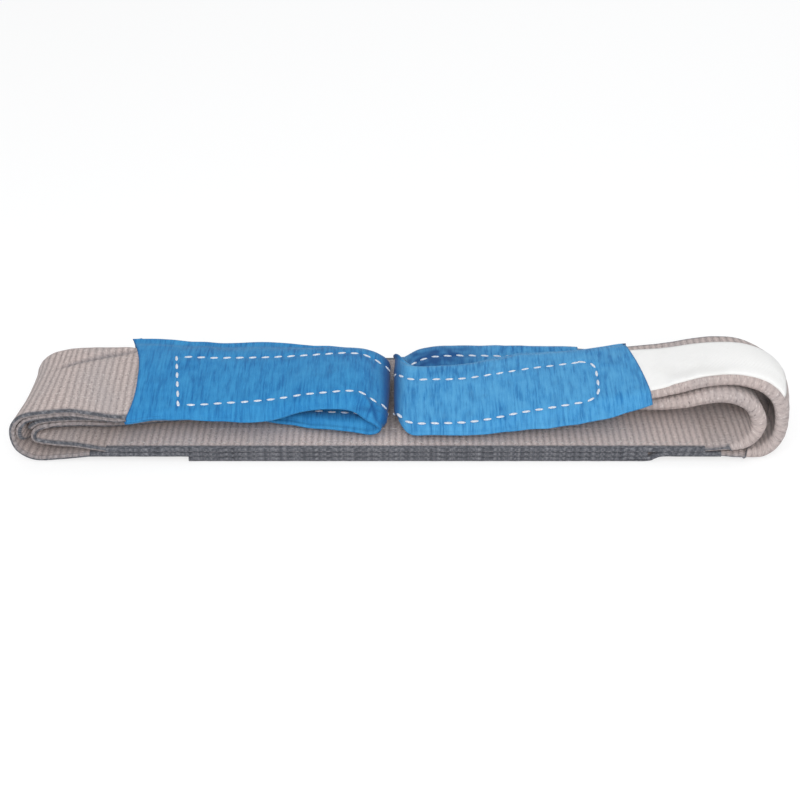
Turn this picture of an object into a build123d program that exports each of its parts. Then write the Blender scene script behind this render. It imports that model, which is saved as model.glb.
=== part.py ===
"""Flat web sling with an eye at each end, folded into a storage bundle.

Millimetres, +Z up.  X runs along the bundle, Y across the web, and the origin
is the middle of the footprint on the surface the bundle lies on.

The sling is one length of woven web laid as a flat closed loop: two plies
sewn face to face make the body, the web's two ends lap on its underside, and
at each end the plies part into the two legs of an eye.  Each leg is folded
lengthwise to half width, curls up round the end of the bundle and comes back
to the middle, where a fabric sleeve covers the eye.
"""

import os
from typing import NamedTuple

from build123d import *

# ------------------------------------------------------------ driving sizes
WEB_WIDTH = 100.0       # full width of the woven web
PLY = 3.4               # one layer of web
LEG_THICK = 7.2         # the web folded lengthwise: two layers
EYE_THICK = 6.6         # the same two layers, pressed inside the sleeve
SLEEVE_CLOTH = 0.7      # wear sleeve fabric
SLEEVE_THICK = 8.4      # sleeve over the leg
SLEEVE_EDGE = 2.6       # the sleeve's empty edge, two layers of fabric
LAP_LEFT = -131.0       # where the web's outer end stops, on the underside
LAP_RIGHT = 146.0       # where the web's covered end stops, above it
LAP_STEP = 7.0          # length of the step down from one level to the other
PLY_END = 180.0         # where the upper ply hands over to the inner folds
OUTER_END = 190.0       # where the lower ply hands over to the outer folds
JOIN = 0.6              # hairline between the nodes of one continuous web
STITCH_PITCH = 7.0
STITCH_LONG = 4.2
STITCH_WIDE = 0.9
STITCH_HIGH = 0.4
STITCH_LIFT = 0.25      # keeps a straight stitch off the curved cloth
LEFT_ROWS = (-21.5, 17.0)   # each sleeve row's place across the leg, near and far
RIGHT_ROWS = (-23.0, 11.5)
SEAM_EDGE = 6.0         # zigzag seam's distance from the web's edge
LABEL_THICK = 0.6
LEAST_CROWN = 0.08
LABEL_GAP = 0.45        # label's clearance off the web it lies on
LABEL_REACH = (0.5, 0.8)    # how far across the leg it lies, at the fold and at the sleeve

HALF_WEB = WEB_WIDTH / 2
BODY_TOP = 3 * PLY
STITCH_LEVEL = BODY_TOP + STITCH_HIGH / 2 + 0.02


class Station(NamedTuple):
    """One cross line of a strap: near and far edge, crown and thickness.

    The sleeve fields are how far the sleeve reaches beyond each edge of the
    leg, and how far each of those empty edges hangs.
    """

    near: tuple
    far: tuple
    crown: float = 0.0
    thick: float = LEG_THICK
    sleeve: tuple = (0.0, 0.0, 0.0, 0.0)


# ---------------------------------------------------- the run of each strap
# Each list follows the strap's mid-thickness from the body outward.
LEFT_OUTER = [
    Station((-OUTER_END - JOIN, -50, 5.1), (-OUTER_END - JOIN, 50, 5.1), 0, PLY),
    Station((-208, -49.9, 4.4), (-208, 43, 4.4), 0, 6.0),
    Station((-223, -49.8, 4.3), (-221, 31, 4.3)),
    Station((-231.5, -49.5, 9.5), (-227, 23, 10), -0.5),
    Station((-233.6, -49, 18), (-228.6, 17, 19), -1.5),
    Station((-232, -48, 25), (-226, 14, 28.5), -2),
    Station((-226, -46, 29), (-218, 13, 34), -1.5),
    Station((-214, -44, 29.8), (-208, 13, 36.5)),
    Station((-200, -43, 30.2), (-200, 13, 37.5), 0.5),
]
LEFT_INNER = [
    Station((-PLY_END - JOIN, -50, 8.7), (-PLY_END - JOIN, 50, 8.7), 0, PLY),
    Station((-198, -49.8, 10.6), (-198, 44, 10.6), 0, 6.4),
    Station((-212, -49.4, 11.6), (-211, 34, 11.6), 0, 7.0),
    Station((-220, -48.5, 13.6), (-217, 28, 14.4), 0, 7.0),
    Station((-222.4, -46.5, 17.2), (-218.5, 24, 19.4), 0, 7.0),
    Station((-219.5, -43, 20.8), (-215, 20, 24.7), 0, 7.0),
    Station((-211, -41, 22), (-207, 18, 27), 0, 7.0),
]
LEFT_EYE = [
    Station((-199.6, -43, 30.2), (-199.6, 13, 37.5), 0.5),
    Station((-186, -44, 28.8), (-185, 14, 38), 1),
    Station((-170, -46, 27.2), (-170, 15, 37.5), 1.5, EYE_THICK, (2.5, 9, 0.5, 0)),
    Station((-150, -40, 26.6), (-150, 16, 36), 2, EYE_THICK, (2.5, 10, 0.5, 0)),
    Station((-120, -38, 26), (-120, 18, 34), 2, EYE_THICK, (3, 9, 0.5, 0)),
    Station((-85, -34.5, 26.2), (-85, 19, 33), 2, EYE_THICK, (5, 10, 2, 0)),
    Station((-55, -30, 28.5), (-55, 21, 32.5), 2, EYE_THICK, (3, 6, 0.5, 0)),
    Station((-32, -28, 29), (-32, 22, 32), 2.5, EYE_THICK, (5, 4, 2.5, 0)),
    Station((-20, -29, 25.5), (-20.5, 22, 29.5), 1.5, EYE_THICK, (6, 3, 1, 0)),
    Station((-14.5, -31, 20.5), (-14.5, 22, 23), 0.5, EYE_THICK, (7, 3, 0, 0)),
    Station((-20, -33, 15.9), (-20.5, 22, 16.5), 0, EYE_THICK, (7, 4, 0, 0)),
    Station((-35, -34, 15.7), (-35, 23, 15.7), 0, EYE_THICK, (5, 5, 0, 0)),
    Station((-60, -30, 15.7), (-60, 24, 15.7), 0, EYE_THICK, (5, 5, 0, 0)),
    Station((-90, -24, 15.7), (-90, 26, 15.7), 0, EYE_THICK, (4, 5, 0, 0)),
    Station((-118, -23, 15.9), (-118, 27, 16), 0, EYE_THICK, (4, 5, 0, 0)),
    Station((-145, -28, 16.6), (-145, 24, 17.6)),
    Station((-176, -35, 18.3), (-176, 19, 21.5), 0, 7.0),
    Station((-196, -38, 20.6), (-194, 18, 25.5), 0, 7.0),
    Station((-209.2, -41, 21.9), (-205.2, 18, 26.8), 0, 7.0),
]
RIGHT_OUTER = [
    Station((OUTER_END + JOIN, -50, 5.1), (OUTER_END + JOIN, 50, 5.1), 0, PLY),
    Station((205, -47, 4.4), (205, 44, 4.4), 0, 6.0),
    Station((217, -43.5, 4.8), (216, 36, 5.5), 1),
    Station((224.3, -39.5, 12), (223.2, 28, 13), 4.4),
    Station((226, -36, 22), (225, 21, 24), 6.9),
    Station((223.8, -32.5, 31), (222.5, 18, 33), 6.9),
    Station((216.5, -29.5, 37.8), (215, 17, 39.5), 5),
    Station((206, -27.5, 41.3), (205, 18, 43), 3),
    Station((194, -26.5, 42.3), (192, 19, 43.2), 1),
]
RIGHT_INNER = [
    Station((PLY_END + JOIN, -50, 8.7), (PLY_END + JOIN, 50, 8.7), 0, PLY),
    Station((194, -49.6, 10.6), (194, 46, 10.6), 0, 6.4),
    Station((204, -48.5, 12), (204, 38, 12), 0, 7.0),
    Station((211, -45.5, 15.5), (211, 30, 15.5), 0, 7.4),
    Station((213.3, -41.5, 21.3), (213.3, 24, 21), 0, 8.0),
    Station((210.2, -37, 28), (210.2, 20, 27), 0, 8.0),
    Station((203, -33.5, 32), (203, 18, 31), 0, 8.0),
    Station((192, -31.5, 33.5), (192, 18, 32.5), 0, 8.0),
]
RIGHT_EYE = [
    Station((192.8, -26.5, 42.3), (190.8, 19, 43.2), 1),
    Station((180, -26.5, 40.7), (180, 20, 41), 0.5),
    Station((165, -27, 36.4), (165, 20, 38), 0.5),
    Station((149, -27.5, 32), (149, 20.5, 36), 1, EYE_THICK, (3, 5.5, 2, 0)),
    Station((110, -32, 26), (110, 19, 32.5), 2, EYE_THICK, (5, 4.5, 1.5, 1)),
    Station((70, -35, 20.5), (70, 14.5, 31.3), 1.5, EYE_THICK, (5, 5.5, 0.5, 1.5)),
    Station((40, -38.5, 17.5), (40, 8.5, 29.4), 1.5, EYE_THICK, (5, 5, 0, 2.5)),
    Station((18, -38, 17.2), (18, 6.5, 29), 1.5, EYE_THICK, (5, 4, 0, 2.5)),
    Station((4, -34.5, 17.4), (3, 8, 28.5), 0.8, EYE_THICK, (5, 4, 0, 1)),
    Station((-2, -25, 19.2), (-2, 19, 25.5), 0, EYE_THICK, (4, 5, 0, 0)),
    Station((4, -13, 17.0), (3, 33, 21), 0, EYE_THICK, (2, 7, 0, -4)),
    Station((18, -5, 15.8), (18, 42, 20.5), -1, EYE_THICK, (2, 8, 0, -6)),
    Station((40, -3, 15.8), (40, 43, 20.5), -1, EYE_THICK, (3, 7, 0, -5)),
    Station((75, -4.5, 15.8), (75, 42, 21), -1, EYE_THICK, (3, 8, 0, -6)),
    Station((112, -9, 16.4), (112, 39, 22), -0.5, EYE_THICK, (3, 8, 0, -5.5)),
    Station((140, -21, 20), (140, 31, 23)),
    Station((165, -29, 26.5), (165, 22, 27), 0, 7.0),
    Station((180, -31, 31.5), (180, 20, 31), 0, 7.6),
    Station((190.8, -31.5, 33.3), (190.8, 18, 32.4), 0, 8.0),
]
LEFT_SLEEVED = slice(2, 15)     # stations of the eye that the sleeve covers
RIGHT_SLEEVED = slice(3, 15)
PIECES = 4                      # lofted lengths between two stations


# -------------------------------------------------------------- strap tools
def flat(station):
    """A station as one flat row of numbers."""
    return (*station.near, *station.far, station.crown, station.thick, *station.sleeve)


def unflat(row):
    """The station that a flat row of numbers stands for."""
    return Station(tuple(row[0:3]), tuple(row[3:6]), row[6], row[7], tuple(row[8:12]))


def along(stations, pieces=PIECES):
    """A smooth run of stations through the given ones."""
    rows = [flat(s) for s in stations]
    first = [2 * a - b for a, b in zip(rows[0], rows[1])]
    last = [2 * a - b for a, b in zip(rows[-1], rows[-2])]
    rows = [first] + rows + [last]
    out = []
    for i in range(1, len(rows) - 2):
        for k in range(pieces):
            t = k / pieces
            out.append(unflat([
                0.5 * (2 * b + (c - a) * t + (2 * a - 5 * b + 4 * c - d) * t * t
                       + (3 * b - a - 3 * c + d) * t ** 3)
                for a, b, c, d in zip(*rows[i - 1:i + 3])
            ]))
    out.append(unflat(rows[-2]))
    return out


def middle(station):
    """The point halfway between a station's edges."""
    return (Vector(*station.near) + Vector(*station.far)) / 2


def width_of(station):
    """Distance between a station's two edges."""
    return (Vector(*station.far) - Vector(*station.near)).length


def planes(run, side):
    """Each station's plane: z along the strap, y outward, x across it."""
    out = []
    for i, station in enumerate(run):
        before, after = run[max(i - 1, 0)], run[min(i + 1, len(run) - 1)]
        across = (Vector(*station.far) - Vector(*station.near)).normalized()
        tangent = middle(after) - middle(before)
        tangent = (tangent - across * tangent.dot(across)).normalized()
        out.append(Plane(middle(station), x_dir=across * side, z_dir=tangent))
    return out


def framed(stations, side):
    """Each station of the smooth run with the plane it is drawn on."""
    run = along(stations)
    return list(zip(planes(run, side), run))


def crown_at(station, x):
    """How far a strap stands out of its plane at `x` from its middle line.

    The crown is drawn through the middle, the quarter lines and the edges, and
    is never quite nothing, so that every section keeps all of its corners.
    """
    half = width_of(station) / 2
    crown = station.crown if abs(station.crown) > LEAST_CROWN else LEAST_CROWN
    u = min(abs(x) / half, 1.0)
    return crown * (1 - 0.5 * u if u < 0.5 else 1.5 * (1 - u))


def web_outline(station):
    """Section of the web: a bar with a slight crown across its width."""
    half, rise = width_of(station) / 2, station.thick / 2
    steps = [-half, -half / 2, 0.0, half / 2, half]
    low = [(x, crown_at(station, x) - rise) for x in steps]
    high = [(x, crown_at(station, x) + rise) for x in reversed(steps)]
    return low + high


def wrapped(station, out, tall):
    """The upper and the lower line of a cover over a leg, both near to far."""
    half = width_of(station) / 2
    lines = []
    for face in (tall, -tall):
        inner = [(x, crown_at(station, x) + face) for x in (-half / 2, 0.0, half / 2)]
        lines.append([(-out, face), *inner, (out, face)])
    return lines


def sleeve_outline(station, side):
    """Section of the sleeve: one strip of cloth wrapped round the leg.

    It is full over the leg and thin where it is empty beyond the leg's edges.
    The strip's own edges meet, a hair apart, along the near edge.
    """
    near, far, near_drop, far_drop = station.sleeve
    out = width_of(station) / 2 + 0.9
    lip = -out - near
    skins = []
    for inset in (0, SLEEVE_CLOTH):
        thin, tail = SLEEVE_EDGE / 2 - inset, out + far - inset
        over, beneath = wrapped(station, out - inset, SLEEVE_THICK / 2 - inset)
        skins.append([(lip, thin - near_drop), *over, (tail, thin - far_drop),
                      (tail, -thin - far_drop), *beneath[::-1], (lip, -thin - near_drop)])
    return [(side * x, y) for x, y in skins[0] + skins[1][::-1]]


def row_places(stations, side, offset, start, stop):
    """Where the stitches of a row sit on the sleeve, from one length to another."""
    run = along(stations)
    frames = planes(run, side)
    face = [plane.from_local_coords(Vector(side * offset, SLEEVE_THICK / 2 + crown_at(station, offset), 0))
            for plane, station in zip(frames, run)]
    places, travelled, due = [], 0.0, start
    for here, there, plane in zip(face, face[1:], frames):
        step = there - here
        while travelled + step.length > due and due < stop:
            spot = here + step * ((due - travelled) / step.length)
            out = (plane.y_dir - step.normalized() * plane.y_dir.dot(step.normalized())).normalized()
            spot = spot + out * (STITCH_HIGH / 2 + STITCH_LIFT)
            places.append(Plane(spot, x_dir=step, z_dir=out).location)
            due += STITCH_PITCH
        travelled += step.length
    return places


def cross_places(stations, side, length, rows):
    """Where the stitches that join the two rows at one end sit on the sleeve."""
    near, far = rows
    spots = [row_places(stations, side, near + (far - near) * k / 8, length, length + 1)
             for k in range(1, 8, 2)]
    return [spot[0] * Rotation(0, 0, 90) for spot in spots]


# ------------------------------------------------------------------ the body
with BuildPart() as body_upper_ply:
    # The unbroken length of web, on top of the body.
    with BuildSketch(Plane.XZ):
        with Locations((0, BODY_TOP - PLY / 2)):
            Rectangle(2 * PLY_END, PLY)
    extrude(amount=HALF_WEB, both=True)

with BuildPart() as body_lower_ply:
    # The lower ply, from the left end to the covered end of the web.
    with BuildSketch(Plane.XZ):
        with BuildLine():
            Polyline((-OUTER_END, PLY), (LAP_RIGHT - 1.2, PLY), (LAP_RIGHT, 2 * PLY), (-OUTER_END, 2 * PLY),
                     close=True)
        make_face()
    extrude(amount=HALF_WEB, both=True)

with BuildPart() as lap_ply:
    # The other end: level with the lower ply on the right, then stepping down
    # under it to lie on the ground and end on the left.
    with BuildSketch(Plane.XZ):
        with BuildLine():
            Polyline((OUTER_END, 2 * PLY), (LAP_RIGHT + LAP_STEP, 2 * PLY), (LAP_RIGHT, PLY),
                     (LAP_LEFT + 1.0, PLY), (LAP_LEFT, PLY - 1.0), (LAP_LEFT, 0), (LAP_RIGHT, 0),
                     (LAP_RIGHT + LAP_STEP, PLY), (OUTER_END, PLY), close=True)
        make_face()
    extrude(amount=HALF_WEB, both=True)

with BuildPart() as body_seams:
    # A zigzag seam along each edge joins the two plies.
    count = 50
    zigzag = [Location((-172 + i * STITCH_PITCH, y, STITCH_LEVEL), (0, 0, 35 if i % 2 else -35))
              for i in range(count) for y in (SEAM_EDGE - HALF_WEB, HALF_WEB - SEAM_EDGE)]
    with Locations(*zigzag):
        Box(STITCH_LONG, STITCH_WIDE, STITCH_HIGH)

with BuildPart() as lap_seam:
    # Straight rows hold the lapped ends together through all three plies.
    straight = [Location((LAP_LEFT + 12 + i * STITCH_PITCH, y, STITCH_LEVEL))
                for i in range(37) for y in (-30, -10, 10, 30)]
    with Locations(*straight):
        Box(STITCH_LONG, STITCH_WIDE, STITCH_HIGH)

# ------------------------------------------------------------- the end folds
with BuildPart() as left_outer_fold:
    for plane, station in framed(LEFT_OUTER, 1):
        with BuildSketch(plane):
            with BuildLine():
                Polyline(*web_outline(station), close=True)
            make_face()
    loft(ruled=True)

with BuildPart() as left_inner_fold:
    for plane, station in framed(LEFT_INNER, 1):
        with BuildSketch(plane):
            with BuildLine():
                Polyline(*web_outline(station), close=True)
            make_face()
    loft(ruled=True)

with BuildPart() as right_outer_fold:
    for plane, station in framed(RIGHT_OUTER, -1):
        with BuildSketch(plane):
            with BuildLine():
                Polyline(*web_outline(station), close=True)
            make_face()
    loft(ruled=True)

with BuildPart() as right_inner_fold:
    for plane, station in framed(RIGHT_INNER, -1):
        with BuildSketch(plane):
            with BuildLine():
                Polyline(*web_outline(station), close=True)
            make_face()
    loft(ruled=True)

# ------------------------------------------------------------------ the eyes
with BuildPart() as left_eye_web:
    for plane, station in framed(LEFT_EYE, 1):
        with BuildSketch(plane):
            with BuildLine():
                Polyline(*web_outline(station), close=True)
            make_face()
    loft(ruled=True)

with BuildPart() as left_sleeve:
    for plane, station in framed(LEFT_EYE[LEFT_SLEEVED], 1):
        with BuildSketch(plane):
            with BuildLine():
                Polyline(*sleeve_outline(station, 1), close=True)
            make_face()
    loft(ruled=True)

with BuildPart() as left_sleeve_stitching:
    eye = LEFT_EYE[LEFT_SLEEVED]
    rows = [row_places(eye, 1, u, 30, 158) for u in LEFT_ROWS]
    with Locations(*rows[0], *rows[1], *cross_places(eye, 1, 28, LEFT_ROWS)):
        Box(STITCH_LONG, STITCH_WIDE, STITCH_HIGH)

with BuildPart() as right_eye_web:
    for plane, station in framed(RIGHT_EYE, -1):
        with BuildSketch(plane):
            with BuildLine():
                Polyline(*web_outline(station), close=True)
            make_face()
    loft(ruled=True)

with BuildPart() as right_sleeve:
    for plane, station in framed(RIGHT_EYE[RIGHT_SLEEVED], -1):
        with BuildSketch(plane):
            with BuildLine():
                Polyline(*sleeve_outline(station, -1), close=True)
            make_face()
    loft(ruled=True)

with BuildPart() as right_sleeve_stitching:
    eye = RIGHT_EYE[RIGHT_SLEEVED]
    rows = [row_places(eye, -1, u, 38, 150) for u in RIGHT_ROWS]
    with Locations(*rows[0], *rows[1], *cross_places(eye, -1, 32, RIGHT_ROWS)):
        Box(STITCH_LONG, STITCH_WIDE, STITCH_HIGH)

# --------------------------------------------------------------------- label
with BuildPart() as label:
    # Sewn to the outer face of the right outer leg, from the sleeve's mouth to
    # the turn of the fold.
    lifted = []
    strip = framed(RIGHT_OUTER[4:8] + RIGHT_EYE[:4], -1)[4:-1]
    for i, (plane, station) in enumerate(strip):
        half = width_of(station) / 2
        reach = LABEL_REACH[0] + (LABEL_REACH[1] - LABEL_REACH[0]) * i / len(strip)
        edges = []
        for u in (-half + 1.0, half * reach):
            rise = station.crown * (1 - (u / half) ** 2) + station.thick / 2 + LABEL_GAP + LABEL_THICK / 2
            edges.append(tuple(plane.from_local_coords(Vector(-u, rise, 0))))
        lifted.append(Station(edges[0], edges[1], station.crown * 0.66, LABEL_THICK))
    for plane, station in zip(planes(lifted, -1), lifted):
        with BuildSketch(plane):
            with BuildLine():
                Polyline(*web_outline(station), close=True)
            make_face()
    loft(ruled=True)

# -------------------------------------------------------------------- export
os.makedirs("parts", exist_ok=True)
PIECE_LIST = {
    "body_upper_ply": body_upper_ply,
    "body_lower_ply": body_lower_ply,
    "lap_ply": lap_ply,
    "body_seams": body_seams,
    "lap_seam": lap_seam,
    "left_outer_fold": left_outer_fold,
    "left_inner_fold": left_inner_fold,
    "right_outer_fold": right_outer_fold,
    "right_inner_fold": right_inner_fold,
    "left_eye_web": left_eye_web,
    "left_sleeve": left_sleeve,
    "left_sleeve_stitching": left_sleeve_stitching,
    "right_eye_web": right_eye_web,
    "right_sleeve": right_sleeve,
    "right_sleeve_stitching": right_sleeve_stitching,
    "label": label,
}
for name, built in PIECE_LIST.items():
    built.part.label = name
    export_step(built.part, f"parts/{name}.step")
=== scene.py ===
"""A flat web sling folded into its storage bundle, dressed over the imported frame.

Sizes are in millimetres until a mesh is written. +X runs along the bundle, +Y
across the web and +Z up, as in the frame.
"""

import bisect
import logging
import math
from collections.abc import Callable
from dataclasses import dataclass, field
from enum import Enum

import bmesh
import bpy
from mathutils import Matrix, Vector, noise


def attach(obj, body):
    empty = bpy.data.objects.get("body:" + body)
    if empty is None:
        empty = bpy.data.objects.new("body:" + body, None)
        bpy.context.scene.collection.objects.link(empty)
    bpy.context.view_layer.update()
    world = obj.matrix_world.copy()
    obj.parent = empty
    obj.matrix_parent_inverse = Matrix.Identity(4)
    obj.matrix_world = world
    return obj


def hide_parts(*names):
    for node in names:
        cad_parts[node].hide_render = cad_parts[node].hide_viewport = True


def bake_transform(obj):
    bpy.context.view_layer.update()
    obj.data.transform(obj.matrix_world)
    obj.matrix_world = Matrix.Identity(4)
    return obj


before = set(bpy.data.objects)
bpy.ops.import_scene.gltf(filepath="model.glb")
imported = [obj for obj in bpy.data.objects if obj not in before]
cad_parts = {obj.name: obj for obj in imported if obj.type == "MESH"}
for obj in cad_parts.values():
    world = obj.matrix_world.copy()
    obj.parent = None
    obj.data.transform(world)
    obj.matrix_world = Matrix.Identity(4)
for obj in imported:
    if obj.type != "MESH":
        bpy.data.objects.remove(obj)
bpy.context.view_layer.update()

MM = 0.001
LOG = logging.getLogger("sling")

# Sizes that the frame's solids were made with.
WEB_WIDTH = 100.0
PLY = 3.4
LEG_THICK = 7.2
EYE_THICK = 6.6
SLEEVE_THICK = 8.4
SLEEVE_EDGE = 2.6
BODY_TOP = 3 * PLY
PLY_END = 180.0
OUTER_END = 190.0
LAP_LEFT = -131.0
LAP_RIGHT = 146.0
MEET = 0.29  # how far a ply runs on past its solid, to meet a leg

# Sizes that only show.
RIB_PITCH = 3.9
SEAM_PITCH = 7.0
SEAM_RISE = 0.14
SLEEVE_PITCH = 8.0
GAP_MIDDLE = -8.3

Colour = tuple[float, float, float, float]
Socket = bpy.types.NodeSocket


class Fold(Enum):
    """The edge of a leg where its web is folded, or none for a flat ply."""

    NEAR = "near"
    FAR = "far"
    NONE = "none"


class Body(str, Enum):
    """The rigid bodies that pieces ride on."""

    WEB = "web_body"
    LEFT = "left_eye"
    RIGHT = "right_eye"


def smooth(value: float) -> float:
    """Ease a value from 0 to 1, held outside that range."""
    value = min(max(value, 0.0), 1.0)
    return value * value * (3 - 2 * value)


@dataclass(frozen=True)
class Station:
    """One cross line of a strap: near and far edge, crown, thickness, sleeve margins."""

    near: tuple[float, float, float]
    far: tuple[float, float, float]
    crown: float = 0.0
    thick: float = LEG_THICK
    sleeve: tuple[float, float, float, float] = (0.0, 0.0, 0.0, 0.0)

    def row(self) -> list[float]:
        """Return the station as one row of numbers."""
        return [*self.near, *self.far, self.crown, self.thick, *self.sleeve]


@dataclass(frozen=True)
class Frame:
    """Where a cross line lies and which way it faces."""

    middle: Vector
    across: Vector
    normal: Vector
    tangent: Vector
    half: float
    crown: float
    thick: float
    sleeve: tuple[float, ...]

    def point(self, x: float, out: float) -> Vector:
        """Return the point `x` across and `out` off the middle line."""
        return self.middle + self.across * x + self.normal * out

    def rise(self, x: float) -> float:
        """Return how far the crown lifts the strap at `x` across."""
        u = min(abs(x) / self.half, 1.0)
        return self.crown * (1 - u * u)


@dataclass
class Run:
    """A strap's smooth path through its stations."""

    stations: list[Station]
    fine: int = 20
    side: int = 1
    lengths: list[float] = field(init=False)
    frames: list[Frame] = field(init=False)

    def __post_init__(self) -> None:
        """Sample the path and measure it."""
        rows = [s.row() for s in self.stations]
        rows = [[2 * a - b for a, b in zip(rows[0], rows[1])], *rows,
                [2 * a - b for a, b in zip(rows[-1], rows[-2])]]
        samples = []
        for i in range(1, len(rows) - 2):
            for k in range(self.fine):
                t = k / self.fine
                samples.append([0.5 * (2 * b + (c - a) * t + (2 * a - 5 * b + 4 * c - d) * t * t
                                       + (3 * b - a - 3 * c + d) * t ** 3)
                                for a, b, c, d in zip(*rows[i - 1:i + 3])])
        samples.append(rows[-2])
        near = [Vector(s[0:3]) for s in samples]
        far = [Vector(s[3:6]) for s in samples]
        middle = [(a + b) / 2 for a, b in zip(near, far)]
        self.lengths, self.frames = [0.0], []
        for a, b in zip(middle, middle[1:]):
            self.lengths.append(self.lengths[-1] + (b - a).length)
        for i, row in enumerate(samples):
            across = (far[i] - near[i]).normalized()
            ahead = middle[min(i + 2, len(samples) - 1)] - middle[max(i - 2, 0)]
            ahead = (ahead - across * ahead.dot(across)).normalized()
            self.frames.append(Frame(middle[i], across, ahead.cross(across) * self.side, ahead,
                                     (far[i] - near[i]).length / 2, row[6], row[7], tuple(row[8:12])))

    @property
    def total(self) -> float:
        """Return the path's whole length."""
        return self.lengths[-1]

    def length_of(self, index: int) -> float:
        """Return the path's length up to a station."""
        return self.lengths[index * self.fine]

    def at(self, length: float) -> Frame:
        """Find the cross line at a length along the path.

        Args:
            length: distance from the path's start, held inside it.

        Returns:
            The frame there, between the two nearest samples.
        """
        length = min(max(length, 0.0), self.total - 1e-6)
        i = max(bisect.bisect_right(self.lengths, length) - 1, 0)
        t = (length - self.lengths[i]) / (self.lengths[i + 1] - self.lengths[i])
        a, b = self.frames[i], self.frames[i + 1]
        across = a.across.lerp(b.across, t).normalized()
        ahead = a.tangent.lerp(b.tangent, t)
        ahead = (ahead - across * ahead.dot(across)).normalized()
        return Frame(a.middle.lerp(b.middle, t), across, ahead.cross(across) * self.side, ahead,
                     a.half + (b.half - a.half) * t, a.crown + (b.crown - a.crown) * t,
                     a.thick + (b.thick - a.thick) * t,
                     tuple(p + (q - p) * t for p, q in zip(a.sleeve, b.sleeve)))


LEFT_OUTER = [
    Station((-190.3, -50, 5.1), (-190.3, 50, 5.1), 0, PLY),
    Station((-208, -49.9, 4.4), (-208, 43, 4.4), 0, 6.0),
    Station((-223, -49.8, 4.3), (-221, 31, 4.3)),
    Station((-231.5, -49.5, 9.5), (-227, 23, 10), -0.5),
    Station((-233.6, -49, 18), (-228.6, 17, 19), -1.5),
    Station((-232, -48, 25), (-226, 14, 28.5), -2),
    Station((-226, -46, 29), (-219, 13.5, 35.5), -1.5),
    Station((-214, -44, 29.8), (-209, 13.5, 38.5)),
    Station((-200, -43, 30.2), (-200, 13.5, 39.5), 0.5),
]
LEFT_EYE = [
    Station((-186, -44, 28.8), (-185, 14, 39.5), 1),
    Station((-170, -45, 27.4), (-170, 15, 38.5), 1.5, EYE_THICK, (1, 9, 0, 0)),
    Station((-150, -40, 26.6), (-150, 16, 36.5), 2, EYE_THICK, (1.5, 10, 0, 0)),
    Station((-120, -38, 26), (-120, 18, 34), 2, EYE_THICK, (3, 9, 0.5, 0)),
    Station((-85, -34.5, 26.2), (-85, 19, 33), 2, EYE_THICK, (5, 10, 2, 0)),
    Station((-55, -30, 28.5), (-55, 21, 32.5), 2, EYE_THICK, (3, 6, 0.5, 0)),
    Station((-32, -28, 29), (-32, 22, 32), 2.5, EYE_THICK, (5, 4, 2.5, 0)),
    Station((-22, -30.5, 23), (-20.5, 22, 29.5), 1.5, EYE_THICK, (6, 3, 1, 0)),
    Station((-15.5, -32, 18.3), (-13.3, 22, 23), 0.5, EYE_THICK, (7, 3, 0, 0)),
    Station((-20.5, -33.5, 15.2), (-20.5, 22, 16.5), 0, EYE_THICK, (7, 4, 0, 0)),
    Station((-35, -34, 15.7), (-35, 23, 15.7), 0, EYE_THICK, (5, 5, 0, 0)),
    Station((-60, -30, 15.7), (-60, 24, 15.7), 0, EYE_THICK, (5, 5, 0, 0)),
    Station((-90, -24, 15.7), (-90, 26, 15.7), 0, EYE_THICK, (4, 5, 0, 0)),
    Station((-118, -23, 15.9), (-118, 27, 16), 0, EYE_THICK, (4, 5, 0, 0)),
    Station((-145, -28, 16.6), (-145, 24, 17.6)),
    Station((-176, -35, 18.3), (-176, 19, 21.5), 0, 7.0),
    Station((-196, -38, 20.6), (-194, 18, 25.5), 0, 7.0),
]
LEFT_INNER = [
    Station((-212, -41.5, 22.3), (-207, 18, 27), 0, 7.0),
    Station((-221.5, -43.5, 21.2), (-215.5, 20, 24.7), 0, 7.0),
    Station((-225, -46.5, 17.2), (-219, 24, 19.4), 0, 7.0),
    Station((-222.5, -48.5, 13.4), (-217.5, 28, 14.4), 0, 7.0),
    Station((-212, -49.4, 11.6), (-211, 34, 11.6), 0, 7.0),
    Station((-198, -49.8, 10.6), (-198, 44, 10.6), 0, 6.4),
    Station((-180.3, -50, 8.7), (-180.3, 50, 8.7), 0, PLY),
]
RIGHT_OUTER = [
    Station((190.3, -50, 5.1), (190.3, 50, 5.1), 0, PLY),
    Station((204, -50, 4.8), (204, 49.4, 4.8), 0, 4.6),
    Station((217.5, -47, 4.6), (216, 36, 5.5), 1),
    Station((225, -43, 11.2), (223.2, 28, 13), 4.4),
    Station((226.3, -37.5, 21.5), (225, 21, 24), 6.9),
    Station((223.8, -32.5, 31), (222.5, 18, 33), 6.9),
    Station((216.5, -29.5, 37.8), (215, 17, 39.5), 5),
    Station((206, -27.5, 41.3), (205, 18, 43), 3),
    Station((194, -26.5, 42.3), (192, 19, 43.2), 1),
]
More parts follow.
